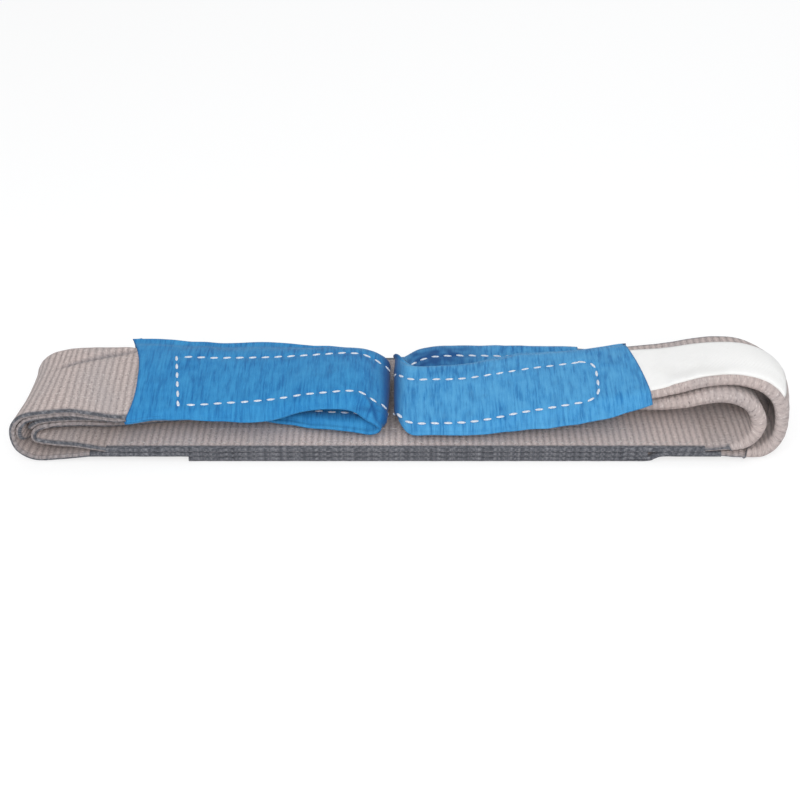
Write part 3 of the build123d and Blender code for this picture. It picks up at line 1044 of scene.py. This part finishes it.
@dataclass
class SlingBody:
    """The three flat plies under the eyes, and the thread that joins them."""

    # The top ply's webbing is a brighter copy, painted light.
    top: bpy.types.Material
    web: bpy.types.Material
    thread: bpy.types.Material

    def ply(self, name: str, node: str, spans: list[tuple[float, float]]) -> None:
        """Build one flat ply.

        Args:
            name: the piece's name.
            node: the solid that it stands for.
            spans: the (x, z) places that its middle line passes.
        """
        run = Run([Station((x, -50, z), (x, 50, z), 0, PLY) for x, z in spans], 24)
        # The top ply gets the brighter webbing, painted light, and the painted shadow between the eyes.
        cloth, shadow_paint = (self.top, gap_painted_shadow) if node == "body_upper_ply" else (self.web, None)
        piece = Web(run, Fold.NONE, cloth, first=spans[0][0], shadow_paint=shadow_paint).build(name, 0, run.total)
        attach(piece, Body.WEB.value)
        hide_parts(node)
        report(piece, "flat ply")

    def sew(self, name: str, node: str, rows: list[Stitch]) -> None:
        """Sew one seam through the plies.

        Args:
            name: the piece's name.
            node: the solid that it stands for.
            rows: its stitches.
        """
        piece = stitches(name, self.thread, rows)
        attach(piece, Body.WEB.value)
        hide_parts(node)
        report(piece, "seam of the body")

    def build(self) -> None:
        """Build the plies and their seams."""
        top, middle, low = BODY_TOP - PLY / 2, 1.5 * PLY, 0.5 * PLY
        upper, lower = PLY_END + MEET, OUTER_END + MEET
        self.ply("upper_ply", "body_upper_ply", [(-upper, top), (-60, top), (60, top), (upper, top)])
        self.ply("lower_ply", "body_lower_ply",
                 [(-lower, middle), (-90, middle), (40, middle), (LAP_RIGHT, middle)])
        self.ply("lap", "lap_ply",
                 [(LAP_LEFT, low), (0, low), (120, low), (LAP_RIGHT - 1, low),
                  (LAP_RIGHT + 4, low + PLY * 0.5), (LAP_RIGHT + 9, middle), (170, middle),
                  (lower, middle)])
        up, along, rise = Vector((0, 0, 1)), Vector((1, 0, 0)), BODY_TOP + SEAM_RISE
        slants = (Vector((0.82, -0.57, 0)), Vector((0.82, 0.57, 0)))
        self.sew("body_zigzag_thread", "body_seams",
                 [Stitch(Vector((-172 + i * SEAM_PITCH, y, rise)), slants[i % 2], up, 5.6, 0.8, 0.42)
                  for i in range(50) for y in (-44.0, 44.0)])
        start = LAP_LEFT + 12
        self.sew("lap_thread", "lap_seam",
                 [Stitch(Vector((start + i * SEAM_PITCH, y, rise)), along, up, 4.6, 0.8, 0.42)
                  for i in range(37) for y in (-30.0, -10.0, 10.0, 30.0)])


# -------------------------------------------------------------------- sleeves
@dataclass(frozen=True)
class Seam:
    """A row of stitches round a rounded rectangle drawn on a sleeve.

    `near` and `far` are its two long sides, and `pinch` is how far each has
    moved in where the sleeve turns. `skew` sets the near start further along.
    """

    start: float
    stop: float
    near: float
    far: float
    corner: float
    pinch: tuple[float, float] = (0.0, 0.0)
    skew: float = 0.0

    def sides(self, length: float) -> tuple[float, float]:
        """Return where the two long sides are at a length."""
        part = smooth((length - self.start) / (0.42 * (self.stop - self.start)))
        return self.near + self.pinch[0] * part, self.far + self.pinch[1] * part

    def placed(self, length: float, side: float) -> tuple[float, float]:
        """Place a point of the row on the strap, with the start set aslant.

        Args:
            length: distance along the run.
            side: -1 on the near side to 1 on the far side.

        Returns:
            The length, and the distance across from the middle line.
        """
        near, far = self.sides(length)
        slant = self.skew * (1 - side) / 2 * (1 - smooth((length - self.start) / 30))
        return length + slant, (near + far) / 2 + (far - near) / 2 * side

    def distance(self, length: float, x: float) -> float:
        """Find how far a spot is from the row of stitches.

        Args:
            length: distance along the run.
            x: distance across from the middle line.

        Returns:
            The distance over the cloth.
        """
        near, far = self.sides(length)
        half = (far - near) / 2
        a = abs(length - (self.start + self.stop) / 2) - (self.stop - self.start) / 2 + self.corner
        b = abs(x - (near + far) / 2) - half + self.corner
        return abs(math.hypot(max(a, 0), max(b, 0)) + min(max(a, b), 0) - self.corner)

    def path(self) -> list[tuple[float, float]]:
        """Walk once round the row, in small steps.

        Returns:
            Each step's length and distance across.
        """
        half, low, high, bend = (self.far - self.near) / 2, self.start, self.stop, self.corner
        middles = [(low + bend, half - bend), (low + bend, bend - half), (high - bend, bend - half),
                   (high - bend, half - bend)]
        turns = [(u + bend * math.cos(a), x + bend * math.sin(a)) for k, (u, x) in enumerate(middles)
                 for a in (math.pi / 2 * (k + 1 + i / 8) for i in range(9))]
        walk = [turns[0]]
        for a, b in zip(turns, turns[1:] + turns[:1]):
            count = max(int(math.dist(a, b) / 1.5), 1)
            walk += [tuple(p + (q - p) * k / count for p, q in zip(a, b)) for k in range(1, count + 1)]
        return [self.placed(length, x / half) for length, x in walk]


@dataclass
class WearSleeve:
    """A woven tube drawn flat over a leg of an eye and sewn through it.

    `mouth` draws its outer end in and `crumple` raises its face. A last
    function paints shade on it: the right sleeve's hollow, the left one's
    creases. Painted shade also darkens its two ends and its tip by the other eye.
    """

    name: str
    run: Run
    start: float
    stop: float
    cloth: bpy.types.Material
    thread: bpy.types.Material
    mouth: Callable[[float], float]
    stitching: Seam
    crumple: Callable[[float, float, bool], float] | None = None
    # Painted shade: the right sleeve's hollow, the left one's creases.
    painted_shade: Callable[[float, float, bool], float] | None = None
    thick: float = 0.7
    pitch: float = 1.0
    seed: float = 0.0
    tip_x: float = field(init=False, default=0.0)

    def ring(self, cross: Frame) -> list[tuple[float, float]]:
        """Find the corners of the sleeve's section.

        Args:
            cross: the cross line.

        Returns:
            Across and out: near lip, over the leg, far lip and back under.
        """
        near, far, near_drop, far_drop = cross.sleeve
        out, tall, thin = cross.half + 0.9, SLEEVE_THICK / 2, SLEEVE_EDGE / 2
        over = []
        for x in (-out + 1.0, -cross.half * 0.62, 0.0, cross.half * 0.62, out - 1.0):
            over.append((x, tall if abs(x) < out - 2 else tall - 0.6))
        upper = [(-out - near, -near_drop), (-out - near + 0.8, thin * 0.8 - near_drop),
                 (-out - near * 0.45, thin * 1.15 - near_drop * 0.6), *over,
                 (out + far * 0.45, thin * 1.15 - far_drop * 0.6),
                 (out + far - 0.8, thin * 0.8 - far_drop)]
        lower = [(out + far, -far_drop), (out + far - 0.8, -thin * 0.8 - far_drop),
                 (out + far * 0.45, -thin * 1.15 - far_drop * 0.6), *[(x, -t) for x, t in reversed(over)],
                 (-out - near * 0.45, -thin * 1.15 - near_drop * 0.6),
                 (-out - near + 0.8, -thin * 0.8 - near_drop)]
        return upper + lower

    def section(self, cross: Frame) -> list[tuple[float, float]]:
        """Round the section's corners into an even closed line.

        Args:
            cross: the cross line.

        Returns:
            Across and out, all the way round.
        """
        corners = self.ring(cross)
        count = len(corners)
        fine = []
        for i in range(count):
            a, b, c, d = (Vector(corners[(i + k) % count]) for k in (-1, 0, 1, 2))
            t1 = max((b - a).length, 1e-3) ** 0.5
            t2 = t1 + max((c - b).length, 1e-3) ** 0.5
            t3 = t2 + max((d - c).length, 1e-3) ** 0.5
            for k in range(8):
                t = t1 + (t2 - t1) * k / 8
                a1 = a.lerp(b, t / t1)
                a2 = b.lerp(c, (t - t1) / (t2 - t1))
                a3 = c.lerp(d, (t - t2) / (t3 - t2))
                b1 = a1.lerp(a2, t / t2)
                b2 = a2.lerp(a3, (t - t1) / (t3 - t1))
                fine.append(tuple(b1.lerp(b2, (t - t1) / (t2 - t1))))
        return fine

    def sunk(self, length: float, x: float) -> float:
        """Find how far the seam and the puckers beside it pull the cloth in.

        Args:
            length: distance along the run.
            x: distance across from the middle line.

        Returns:
            The depth.
        """
        beside = self.stitching.distance(length, x)
        depth = 0.5 * math.exp(-(beside / 1.3) ** 2)
        pucker = math.cos(math.tau * (length + 0.2 * x) / SLEEVE_PITCH)
        return depth + 0.14 * math.exp(-(beside / 4.0) ** 2) * pucker

    def wrinkle(self, length: float, x: float, front: bool) -> float:
        """Find the soft unevenness of the cloth at a spot.

        Args:
            length: distance along the run.
            x: distance across from the middle line.
            front: the face away from the eye's inside, or the other.

        Returns:
            How far the cloth stands up.
        """
        k = self.seed + (0.0 if front else 40.0)
        slow = noise.noise(Vector((length / 24, x / 18, k)))
        cross_wise = noise.noise(Vector((length / 5.5, x / 34, k + 9)))
        rise = 0.42 * slow + 0.22 * cross_wise
        return rise + self.crumple(length, x, front) if self.crumple else rise

    def surface(self, length: float, x: float, front: bool) -> tuple[Vector, Vector]:
        """Find the cloth over the leg at a spot.

        Args:
            length: distance along the run.
            x: distance across from the middle line.
            front: the face away from the eye's inside, or the other.

        Returns:
            The place, and the way the cloth faces there.
        """
        cross = self.run.at(length)
        sign = 1 if front else -1
        tall = SLEEVE_THICK / 2 + self.wrinkle(length, x, front) - self.sunk(length, x)
        return cross.point(x, cross.rise(x) + sign * tall), cross.normal * sign

    def tip(self) -> float:
        """Find how far along the bundle the sleeve reaches where its leg turns back.

        Returns:
            The place along X of the cloth's outside there.
        """
        reach = [self.run.at(u).middle.x for u in range(int(self.start), int(self.stop), 3)]
        return max(reach) + SLEEVE_THICK / 2 if reach[0] < 0 else min(reach) - SLEEVE_THICK / 2

    def shade(self, spot: Vector, length: float, x: float, front: bool) -> float:
        """Find how much painted shade darkens the cloth at a spot.

        Args:
            spot: its place.
            length: distance along the run.
            x: distance across from the middle line.
            front: the face away from the eye's inside, or the other.

        Returns:
            The shade, 0 to 1.
        """
        # Painted shade beside the tip, where the two eyes nearly touch and keep the light off.
        beside_tip = 0.97 * math.exp(-((spot.x - self.tip_x) / 4.5) ** 2)
        return max(self.painted_shade(length, x, front) if self.painted_shade else 0.0, beside_tip)

    def row(self, even: float, hem: float) -> list[Spot]:
        """Lay one ring of cloth round the leg.

        Args:
            even: distance along the run, before the mouth is drawn in.
            hem: how near an end of the sleeve is, 0 to 1.

        Returns:
            The ring's spots, with the first one again at the end.
        """
        base = self.section(self.run.at(even))
        base.append(base[0])
        over = [0.0]
        for a, b in zip(base, base[1:]):
            over.append(over[-1] + math.dist(a, b))
        widest = max(abs(x) for x, _ in base)
        drawn = 1 - smooth((even - self.start) / 26)
        line = []
        for (x, out), gone in zip(base, over):
            front = gone < over[-1] / 2
            length = even + self.mouth(x / widest) * (1 if front else 0.8) * drawn
            cross = self.run.at(length)
            inside = smooth((cross.half + 2 - abs(x)) / 4)
            shift = self.wrinkle(length, x, front) - self.sunk(length, x) * inside
            wave = noise.noise(Vector((length / 13, self.seed + (5 if x > 0 else 1), 0)))
            lift = (1 if front else -1) * shift * (0.35 + 0.65 * inside) + 0.9 * (1 - inside) * wave
            place = cross.point(x, out + cross.rise(x) + lift)
            # Painted shade darkens both ends of the sleeve, besides the shade found above.
            line.append(Spot(place, length, gone, max(0.6 * hem, self.shade(place, length, x, front))))
        return line

    def build(self) -> bpy.types.Object:
        """Build the cloth tube.

        Returns:
            The finished object.
        """
        self.tip_x = self.tip()
        columns = int((self.stop - self.start) / self.pitch)
        table = [self.row(self.start + (self.stop - self.start) * i / columns,
                          1 - smooth(min(i, columns - i) * self.pitch / 1.4))
                 for i in range(columns + 1)]
        piece = Mesher(self.name, self.cloth).drape(table, capped=False)
        wall = piece.modifiers.new("cloth", "SOLIDIFY")
        wall.thickness = self.thick * MM
        wall.offset = -1
        return piece

    def seam(self) -> list[Stitch]:
        """Lay the stitches round the seam, on both faces of the sleeve.

        Returns:
            The stitches.
        """
        out = []
        for front in (True, False):
            spots = [self.surface(length, x, front) for length, x in self.stitching.path()]
            gone, due = 0.0, 2.0
            for (a, face), (b, _) in zip(spots, spots[1:]):
                step = b - a
                while gone + step.length > due:
                    place = a + step * ((due - gone) / step.length)
                    out.append(Stitch(place + face * 0.2, step, face))
                    due += SLEEVE_PITCH
                gone += step.length
        return out


@dataclass
class Label:
    """A bare strip of white tape along the right outer leg, over the fold."""

    run: Run
    start: float
    stop: float
    material: bpy.types.Material
    near: float = 2.2
    far: tuple[float, float] = (0.5, 0.8)
    thick: float = 0.5
    bulge: float = 0.7

    def lies(self, cross: Frame, x: float) -> float:
        """Find how far the web's face stands off its middle, round the fold's bend.

        Args:
            cross: the cross line.
            x: distance across from the middle line.

        Returns:
            The distance.
        """
        swell = self.bulge * (1 - smooth(cross.sleeve[1] / 2.5))
        bend = cross.thick / 2 + swell
        away = x + cross.half
        if away < bend:
            return math.sqrt(max(bend * bend - (bend - away) ** 2, 0.0)) + 0.3 * swell
        return cross.thick / 2 + swell * (smooth(1 - (away - bend) / 9) + 0.3)

    def build(self) -> bpy.types.Object:
        """Build the strip, lying on the web.

        Returns:
            The finished object.
        """
        columns, rows = int((self.stop - self.start) / 1.2), 26
        table = []
        for i in range(columns + 1):
            length = self.start + (self.stop - self.start) * i / columns
            cross = self.run.at(length)
            line = []
            reach = self.far[0] + (self.far[1] - self.far[0]) * i / columns
            low, high = -cross.half + self.near, cross.half * reach
            for j in range(rows + 1):
                x = low + (high - low) * j / rows
                lift = self.lies(cross, x) + 0.4 + 0.15 * noise.noise(Vector((length / 11, x / 9, 2.2)))
                rim = min(j, rows - j) / rows * (high - low)
                lift -= 0.2 * (1 - smooth(rim / 1.5))
                line.append(Spot(cross.point(x, cross.rise(x) + lift), length, x,
                                 0.35 * (1 - smooth((rim - 0.3) / 1.0))))
            table.append(line)
        piece = Mesher("label_tape", self.material).drape(table, capped=False)
        wall = piece.modifiers.new("tape", "SOLIDIFY")
        wall.thickness = self.thick * MM
        wall.offset = -1
        return piece


@dataclass
class Eye:
    """One end of the sling: two folded legs, their loop, its sleeve and seam."""

    side: str
    body: Body
    run: Run
    fold: Fold
    web: bpy.types.Material
    sleeve: WearSleeve
    crest: int
    bends: tuple[tuple[Vector, Vector], tuple[Vector, Vector]]
    dent: Callable[[float, float], float] | None = None

    def build(self) -> None:
        """Build every piece of the eye; all but the two legs go on its body."""
        outer = Web(self.run, self.fold, self.web, first=OUTER_END, bulge=0.7, rib=0.1, dent=self.dent)
        inner = Web(self.run, self.fold, self.web, first=PLY_END + self.run.total, step=-1, bulge=0.7,
                    rib=0.1)
        hidden = self.sleeve.start + 24
        crest = self.run.length_of(self.crest)
        self.bend(outer.build(f"{self.side}_outer_leg", 0, hidden), "outer_fold", self.bends[0])
        self.place(inner.build(f"{self.side}_eye_loop", hidden, crest), "eye_web", "web")
        self.bend(inner.build(f"{self.side}_inner_leg", crest, self.run.total), "inner_fold",
                  self.bends[1])
        piece = self.sleeve.build()
        self.place(piece, "sleeve", "wear_sleeve")
        thread = stitches(f"{self.side}_sleeve_thread", self.sleeve.thread, self.sleeve.seam())
        self.place(thread, "sleeve_stitching", "sleeve_thread")

    def place(self, piece: bpy.types.Object, node: str, slot: str) -> None:
        """Let a piece move with its eye.

        Args:
            piece: the piece.
            node: the solid that it stands for, without the side.
            slot: a word logged with the piece.
        """
        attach(piece, self.body.value)
        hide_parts(f"{self.side}_{node}")
        report(piece, slot)

    def bend(self, piece: bpy.types.Object, node: str, ends: tuple[Vector, Vector]) -> None:
        """Bake a leg's placing into its mesh and hide the solid it stands for.

        Args:
            piece: the leg.
            node: the solid that it stands for, without the side.
            ends: not used.
        """
        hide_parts(f"{self.side}_{node}")
        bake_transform(piece)
        report(piece, "folded leg")


# ---------------------------------------------------------------------- studio
@dataclass(frozen=True)
class Studio:
    """Floor, world, lamps and camera."""

    distance: float = 820.0
    elevation: float = 35.0
    aim: tuple[float, float, float] = (-3.3, -5.0, 18.0)
    lens: float = 59.04
    key: float = 4.6
    front: float = 8.5
    world: float = 0.62

    def build(self) -> None:
        """Set the studio up."""
        scene = bpy.context.scene
        scene.view_settings.view_transform = "Standard"
        bm = bmesh.new()
        bmesh.ops.create_grid(bm, x_segments=8, y_segments=8, size=3.0,
                              matrix=Matrix.Translation((0, 0, -0.0004)))
        Mesher("floor", FloorFinish().material()).finish(bm)
        self.light_world(scene)
        self.lamp("key_lamp", (-0.35, -0.75, 1.25), 1.1, self.key)
        self.lamp("back_lamp", (0.5, 0.9, 1.2), 1.2, self.key * 0.55)
        self.lamp("front_lamp", (0.15, -1.1, 0.85), 0.7, self.front)
        camera = bpy.data.objects.new("camera", bpy.data.cameras.new("camera"))
        camera.data.lens = self.lens
        camera.data.sensor_width = 36
        camera.data.shift_y = -5.05 / 800
        tilt = math.radians(self.elevation)
        aim = Vector(self.aim)
        camera.location = (aim + Vector((0, -math.cos(tilt), math.sin(tilt))) * self.distance) * MM
        camera.rotation_euler = (math.pi / 2 - tilt, 0, 0)
        scene.collection.objects.link(camera)
        scene.camera = camera

    def light_world(self, scene: bpy.types.Scene) -> None:
        """Give the room an even soft light that shows white to the eye.

        Args:
            scene: the scene that gets the light.
        """
        world = bpy.data.worlds.new("room")
        scene.world = world
        world.use_nodes = True
        g = Graph(world.node_tree)
        soft = world.node_tree.nodes["Background"]
        soft.inputs[0].default_value = (0.97, 0.985, 1.0, 1)
        soft.inputs[1].default_value = self.world
        white = g.add("ShaderNodeBackground")
        white.inputs[0].default_value = (1, 1, 1, 1)
        rays = g.add("ShaderNodeLightPath")
        seen = g.math("MAXIMUM", rays.outputs["Is Camera Ray"], rays.outputs["Is Transmission Ray"])
        blend = g.add("ShaderNodeMixShader")
        g.feed(blend.inputs[0], seen)
        g.feed(blend.inputs[1], soft.outputs[0])
        g.feed(blend.inputs[2], white.outputs[0])
        g.feed(world.node_tree.nodes["World Output"].inputs[0], blend.outputs[0])

    def lamp(self, name: str, place: tuple[float, float, float], size: float, power: float) -> None:
        """Hang a square lamp that faces the bundle.

        Args:
            name: the lamp's name.
            place: where it hangs, in metres.
            size: its side, in metres.
            power: its power, in watts.
        """
        light = bpy.data.lights.new(name, "AREA")
        light.size = size
        light.energy = power
        lamp = bpy.data.objects.new(name, light)
        lamp.location = place
        lamp.rotation_euler = (Vector((0, 0, 0.02)) - Vector(place)).to_track_quat("-Z", "Y").to_euler()
        bpy.context.scene.collection.objects.link(lamp)


@dataclass(frozen=True)
class Groove:
    """A crease in the upper face of a leg, running slantwise between two lengths."""

    start: float
    stop: float
    low: float
    high: float
    half: float = 29.0
    deep: float = 1.7

    def __call__(self, length: float, part: float) -> float:
        """Find how far the crease lifts the web at a spot.

        Args:
            length: distance along the run.
            part: distance across, -1 on the near edge to 1 on the far edge.

        Returns:
            The lift, below nought in the crease.
        """
        along = (length - self.start) / (self.stop - self.start)
        away = (part - self.low - (self.high - self.low) * along) * self.half
        there = smooth(along * 3 + 0.6) * smooth((1 - along) * 3 + 0.6)
        ridge, valley = math.exp(-((away - 4.0) / 2.6) ** 2), math.exp(-(away / 1.8) ** 2)
        return there * self.deep * (0.4 * ridge - valley)


@dataclass(frozen=True)
class Hollow:
    """Deep shade on the inner face of a sleeve, round one spot."""

    length: float
    x: float
    long: float
    wide: float
    deep: float = 1.3

    def __call__(self, length: float, x: float, front: bool) -> float:
        """Find how deep the shade is at a spot.

        Args:
            length: distance along the run.
            x: distance across from the middle line.
            front: the face away from the eye's inside, or the other.

        Returns:
            The shade, 0 to 1.
        """
        if front:
            return 0.0
        patchy = 0.75 + 0.6 * noise.noise(Vector((length / 6, x / 4, 0.3)))
        far = ((length - self.length) / self.long) ** 2 + ((x - self.x) / self.wide) ** 2
        return min(self.deep * patchy * math.exp(-far), 0.95)


@dataclass(frozen=True)
class Tuck:
    """Two creases that cross near the tip of a sleeve."""

    length: float
    x: float
    deep: float = 1.3

    def __call__(self, length: float, x: float, front: bool) -> float:
        """Find how far the cloth between the creases stands up at a spot.

        Args:
            length: distance along the run.
            x: distance across from the middle line.
            front: the face away from the eye's inside, or the other.

        Returns:
            The lift.
        """
        if not front:
            return 0.0
        there, crease = self.creases(length, x)
        return self.deep * there * (1 - crease)

    def creases(self, length: float, x: float) -> tuple[float, float]:
        """Find how near a spot is to the tuck.

        Args:
            length: distance along the run.
            x: distance across from the middle line.

        Returns:
            Nearness to the tuck, and to one of its two creases, 0 to 1.
        """
        a, b = length - self.length, x - self.x
        first, second = (a * 0.75 + b * 0.66) / 1.5, (a * 0.25 - b * 0.97) / 1.5
        near = math.exp(-(a / 12) ** 2 - (b / 8) ** 2)
        return near, max(math.exp(-first * first), 0.7 * math.exp(-second * second))

    def shade(self, length: float, x: float, front: bool) -> float:
        """Return how deep the shade in the creases is at a spot."""
        there, crease = self.creases(length, x)
        return 0.85 * there * crease if front else 0.0


def gap_painted_shadow(x: float, across: float) -> float:
    """Painted shadow on the body's web between the tips of the two eyes, where they keep the light off.
    """
    return 0.5 * math.exp(-((x - GAP_MIDDLE) / 4.2) ** 2) * smooth((across + 44) / 14)


def left_mouth(across: float) -> float:
    """How far the left sleeve's mouth is drawn in, from its near edge to its far edge."""
    return 8.8 * (1 - across * across) - 2.7 + 3.5 * max(-across, 0)


def right_mouth(across: float) -> float:
    """How far the right sleeve's mouth is drawn in: it slants."""
    return 11.0 * ((across + 1) / 2) ** 1.5


def left_eye(web: bpy.types.Material, cloth: bpy.types.Material, thread: bpy.types.Material) -> None:
    """Build the left eye: its sleeve's mouth is drawn in and its near lip is tucked.

    Args:
        web: the webbing.
        cloth: the sleeve's cloth.
        thread: the sleeve's thread.
    """
    run = Run(LEFT_OUTER + LEFT_EYE + LEFT_INNER)
    start, stop = run.length_of(LEFT_SLEEVE[0]), run.length_of(LEFT_SLEEVE[1])
    seam = Seam(start + 27.5, stop - 24, -23.5, 18.5, 0.6, (3.0, -1.0), 6.0)
    tuck = Tuck(275, -27)
    sleeve = WearSleeve("left_sleeve_cloth", run, start, stop, cloth, thread, left_mouth, seam, tuck,
                        tuck.shade, seed=1.3)
    groove = Groove(run.length_of(7), run.length_of(10), 0.38, 0.84)
    Eye("left", Body.LEFT, run, Fold.FAR, web, sleeve, CREST, LEFT_BENDS, groove).build()


def right_eye(web: bpy.types.Material, cloth: bpy.types.Material, thread: bpy.types.Material,
              tape: bpy.types.Material) -> None:
    """Build the right eye: its far panel opens behind the near one, and it carries the label.

    Args:
        web: the webbing.
        cloth: the sleeve's cloth.
        thread: the sleeve's thread.
        tape: the label's tape.
    """
    run = Run(RIGHT_OUTER + RIGHT_EYE + RIGHT_INNER, side=-1)
    start, stop = run.length_of(RIGHT_SLEEVE[0]), run.length_of(RIGHT_SLEEVE[1])
    seam = Seam(start + 31, stop - 24, -23.0, 12.0, 10.0, (0.0, -1.0))
    sleeve = WearSleeve("right_sleeve_cloth", run, start, stop, cloth, thread, right_mouth, seam,
                        painted_shade=Hollow(330, 11, 28, 13), seed=6.1)
    Eye("right", Body.RIGHT, run, Fold.NEAR, web, sleeve, CREST, RIGHT_BENDS).build()
    label = Label(run, run.length_of(5), start + 9, tape)
    piece = label.build()
    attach(piece, Body.RIGHT.value)
    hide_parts("label")
    report(piece, "bare label")


def main() -> None:
    """Build the sling, piece by piece, and its studio."""
    weaves = Weaves()
    web = WebFinish(weaves).material()
    cloth = SleeveFinish(weaves).material()
    # A paler copy of the sleeve cloth, for the right eye.
    paler_cloth = SleeveFinish(weaves, name="sleeve_cloth_paler", base=(0.020, 0.195, 0.470, 1),
                              pale=(0.105, 0.385, 0.660, 1), deep=(0.004, 0.060, 0.205, 1)).material()
    white = ThreadFinish(weaves, name="sleeve_thread").material()
    grey = ThreadFinish(weaves, name="seam_thread", pale=(0.66, 0.61, 0.59, 1),
                        deep=(0.34, 0.31, 0.31, 1)).material()
    tape = TapeFinish(weaves).material()
    # A brighter copy of the webbing for the body's top ply: painted light, making up for the shade the
    # eyes cast on it.
    brightened_web = WebFinish(weaves, name="webbing_painted_light", pale=(0.65, 0.545, 0.52, 1),
                          deep=(0.36, 0.305, 0.293, 1), cool=(0.43, 0.40, 0.41, 1)).material()
    SlingBody(brightened_web, web, grey).build()
    left_eye(web, cloth, white)
    right_eye(web, paler_cloth, white, tape)
    Studio().build()


if __name__ == "__main__":
    logging.basicConfig(level=logging.INFO, format="%(name)s %(message)s")
    main()
